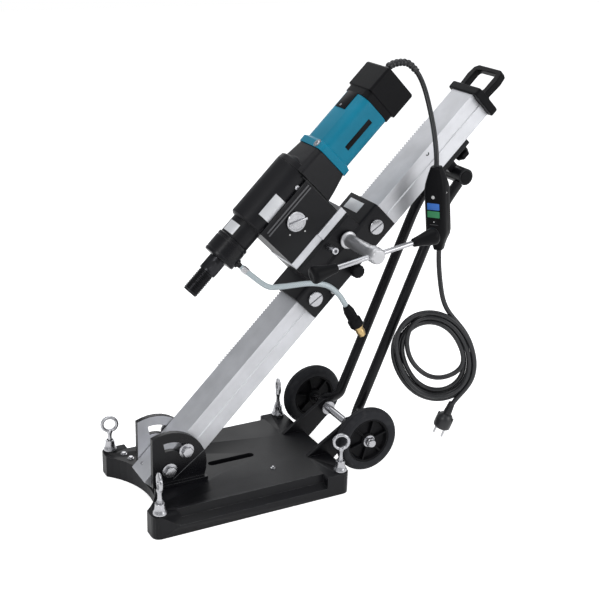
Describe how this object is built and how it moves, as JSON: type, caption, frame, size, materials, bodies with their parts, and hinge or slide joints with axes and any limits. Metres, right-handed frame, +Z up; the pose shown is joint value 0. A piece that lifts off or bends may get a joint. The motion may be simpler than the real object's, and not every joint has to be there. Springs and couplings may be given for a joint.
{
  "type": "core drill rig",
  "caption": "Wheeled core drill rig: base plate with levelling screws, tilting column on back stays, rack-fed carriage and a water-fed drill motor with coiled mains cord.",
  "frame": {"origin": "underside of the base plate, on its centre line, on the web behind the column's foot", "axes": "+X towards the wheels, +Y across away from the crank, +Z up from the floor"},
  "size_m": [0.8083, 0.3249, 0.8406],
  "materials": {
    "black_casting": "black paint on a casting, satin",
    "black_paint": "black powder coat, satin",
    "satin_aluminium": "satin anodised extrusion",
    "zinc_plate": "bright zinc plate",
    "bright_steel": "ground steel",
    "teal_shell": "moulded shell, semi-gloss",
    "tyre_rubber": "matte rubber",
    "cord_rubber": "matte rubber sheath",
    "black_plastic": "fine-grained moulding",
    "nylon": "plain sliding pad",
    "copper_winding": "lacquered winding",
    "hose_plastic": "smooth clear-grey hose",
    "blue_button": "smooth",
    "green_button": "smooth"
  },
  "bodies": {
    "base": {"base_plate": "black_casting", "near_cheek": "black_paint", "far_cheek": "black_paint", "pivot_bolt": "zinc_plate", "wheel_axle": "zinc_plate", "near_wheel_nut": "zinc_plate", "far_wheel_nut": "zinc_plate"},
    "near_front_screw": {"near_front_levelling_screw": "zinc_plate"},
    "far_front_screw": {"far_front_levelling_screw": "zinc_plate"},
    "near_back_screw": {"near_back_levelling_screw": "zinc_plate"},
    "far_back_screw": {"far_back_levelling_screw": "zinc_plate"},
    "near_wheel": {"near_wheel_rim": "black_plastic", "near_wheel_tyre": "tyre_rubber"},
    "far_wheel": {"far_wheel_rim": "black_plastic", "far_wheel_tyre": "tyre_rubber"},
    "stays": {"near_back_stay": "black_paint", "far_back_stay": "black_paint", "stay_cross_tube": "black_paint"},
    "column_body": {"column": "satin_aluminium", "feed_rack": "bright_steel", "top_handle": "black_plastic", "clamp_bolt": "zinc_plate"},
    "stay_slider": {"stay_clamp": "black_paint"},
    "slider_knob": {"clamp_knob": "black_plastic"},
    "carriage": {"carriage_housing": "black_casting", "near_guide_pad": "nylon", "far_guide_pad": "nylon", "lower_guide_pin": "zinc_plate", "upper_guide_pin": "zinc_plate", "mount_plate": "satin_aluminium", "gearbox_housing": "black_casting", "water_swivel": "black_paint", "spindle_bearing": "bright_steel", "motor_adapter": "black_casting", "motor_shell": "teal_shell", "motor_rear_cap": "black_plastic", "field_stator": "copper_winding", "near_brush_holder": "copper_winding", "far_brush_holder": "copper_winding", "cord_guard": "cord_rubber", "upper_cord": "cord_rubber", "cord_box": "black_plastic", "lower_cord": "cord_rubber", "cord_coil": "cord_rubber", "mains_plug": "black_plastic", "water_hose": "hose_plastic", "hose_coupling": "black_plastic"},
    "crank": {"crank_shaft": "bright_steel", "crank_rod": "zinc_plate", "upper_crank_grip": "black_plastic", "lower_crank_grip": "black_plastic"},
    "feed_lock": {"lock_knob": "black_plastic"},
    "mounting_pin": {"mount_pin": "zinc_plate"},
    "gear_selector": {"gear_dial": "zinc_plate"},
    "rotor": {"armature": "bright_steel"},
    "countershaft": {"layshaft": "bright_steel"},
    "output_shaft": {"spindle": "bright_steel", "spindle_gear": "bright_steel"},
    "reset_button": {"blue_button": "blue_button"},
    "test_button": {"green_button": "green_button"}
  },
  "joints": [
    {"name": "column_tilt", "type": "hinge", "parent": "base", "child": "column_body", "pos_m": [-0.084, 0, 0.079], "axis": [0, -1, 0], "range_deg": [0, 45]},
    {"name": "stays_swing", "type": "hinge", "parent": "base", "child": "stays", "pos_m": [0.318, 0, 0.092], "axis": [0, -1, 0], "range_deg": [0, 59.5]},
    {"name": "stay_clamp_slide", "type": "slide", "parent": "column_body", "child": "stay_slider", "axis": [0.7071, 0, 0.7071], "range_m": [-0.344, 0]},
    {"name": "clamp_knob_turn", "type": "hinge", "parent": "stay_slider", "child": "slider_knob", "pos_m": [0.57502, 0, 0.64751], "axis": [0.7071, 0, -0.7071], "range_deg": [-180, 180]},
    {"name": "carriage_feed", "type": "slide", "parent": "column_body", "child": "carriage", "axis": [0.7071, 0, 0.7071], "range_m": [-0.32, 0.278], "deforming": ["lower_cord", "cord_coil", "mains_plug"]},
    {"name": "crank_turn", "type": "hinge", "parent": "carriage", "child": "crank", "pos_m": [0.29324, 0, 0.50079], "axis": [0, 1, 0], "range_deg": [-968, 842]},
    {"name": "feed_lock_turn", "type": "hinge", "parent": "carriage", "child": "feed_lock", "pos_m": [0.30809, 0, 0.43927], "axis": [0, 1, 0], "range_deg": [-90, 90]},
    {"name": "mount_pin_pull", "type": "slide", "parent": "carriage", "child": "mounting_pin", "axis": [0, -1, 0], "range_m": [0, 0.015]},
    {"name": "gear_select", "type": "hinge", "parent": "carriage", "child": "gear_selector", "pos_m": [0.17834, 0, 0.55064], "axis": [0, 1, 0], "range_deg": [-60, 60]},
    {"name": "rotor_spin", "type": "hinge", "parent": "carriage", "child": "rotor", "pos_m": [0.21581, 0, 0.61499], "axis": [0.7071, 0, 0.7071], "continuous": true},
    {"name": "countershaft_spin", "type": "hinge", "parent": "carriage", "child": "countershaft", "pos_m": [0.20733, 0, 0.5669], "axis": [0.7071, 0, 0.7071], "continuous": true},
    {"name": "spindle_spin", "type": "hinge", "parent": "carriage", "child": "output_shaft", "pos_m": [0.13803, 0, 0.57963], "axis": [0.7071, 0, 0.7071], "continuous": true},
    {"name": "near_wheel_spin", "type": "hinge", "parent": "base", "child": "near_wheel", "pos_m": [0.318, 0, 0.092], "axis": [0, 1, 0], "continuous": true},
    {"name": "far_wheel_spin", "type": "hinge", "parent": "base", "child": "far_wheel", "pos_m": [0.318, 0, 0.092], "axis": [0, 1, 0], "continuous": true},
    {"name": "near_front_screw_travel", "type": "slide", "parent": "base", "child": "near_front_screw", "axis": [0, 0, 1], "range_m": [-0.002, 0.025]},
    {"name": "far_front_screw_travel", "type": "slide", "parent": "base", "child": "far_front_screw", "axis": [0, 0, 1], "range_m": [-0.002, 0.025]},
    {"name": "near_back_screw_travel", "type": "slide", "parent": "base", "child": "near_back_screw", "axis": [0, 0, 1], "range_m": [-0.002, 0.025]},
    {"name": "far_back_screw_travel", "type": "slide", "parent": "base", "child": "far_back_screw", "axis": [0, 0, 1], "range_m": [-0.002, 0.025]},
    {"name": "reset_button_press", "type": "slide", "parent": "carriage", "child": "reset_button", "axis": [0.8417, 0.5299, 0.1034], "range_m": [0, 0.0012], "stiffness_N_per_m": 600},
    {"name": "test_button_press", "type": "slide", "parent": "carriage", "child": "test_button", "axis": [0.8417, 0.5299, 0.1034], "range_m": [0, 0.0012], "stiffness_N_per_m": 600}
  ],
  "couplings": [
    {"joint": "stays_swing", "follows": "column_tilt", "ratio": 1.3195},
    {"joint": "stay_clamp_slide", "follows": "column_tilt", "m_per_rad": -0.4372},
    {"joint": "crank_turn", "follows": "carriage_feed", "rad_per_m": 52.632},
    {"joint": "countershaft_spin", "follows": "rotor_spin", "ratio": -0.4},
    {"joint": "spindle_spin", "follows": "rotor_spin", "ratio": 0.28235}
  ]
}
